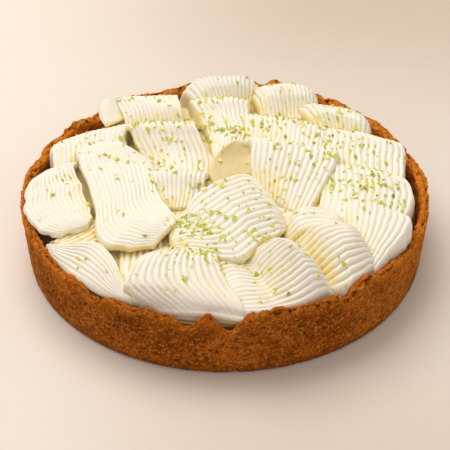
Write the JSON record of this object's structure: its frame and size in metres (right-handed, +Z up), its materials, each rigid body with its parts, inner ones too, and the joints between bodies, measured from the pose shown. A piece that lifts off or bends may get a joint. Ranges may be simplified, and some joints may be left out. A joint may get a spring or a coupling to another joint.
{
  "type": "lemon meringue pie",
  "caption": "Round pie in a pressed crumb crust, topped with flat ribbed ribbons of piped cream in arches and waves, sprinkled with lime zest.",
  "frame": {"origin": "middle of the flat base of the crust, on the surface that the pie stands on", "axes": "+Z up through the middle of the round crust; -Y is the front as pictured, +X to its right"},
  "size_m": [0.2344, 0.2344, 0.06],
  "materials": {
    "crust": null,
    "filling": null,
    "cream": null,
    "zest": "grated lime peel, yellow-green"
  },
  "bodies": {
    "root": {"crust": "crust", "filling": "filling", "low_cream": "cream", "ribbon_centre": "cream", "ribbon_left_sweep": "cream", "ribbon_front_dome": "cream", "ribbon_front": "cream", "ribbon_left": "cream", "ribbon_centre_curl": "cream", "ribbon_centre_scoop": "cream", "ribbon_small_curl": "cream", "ribbon_front_right_dome": "cream", "ribbon_front_right": "cream", "ribbon_front_left": "cream", "ribbon_right": "cream", "ribbon_right_back": "cream", "ribbon_inner_left": "cream", "ribbon_inner_back": "cream", "ribbon_inner_right": "cream", "ribbon_back_dome": "cream", "ribbon_back_right_dome": "cream", "ribbon_far_right_dome": "cream", "ribbon_back_left_arch": "cream", "ribbon_left_back": "cream", "ribbon_front_left_inner": "cream", "ribbon_front_left_under": "cream"}
  },
  "joints": []
}
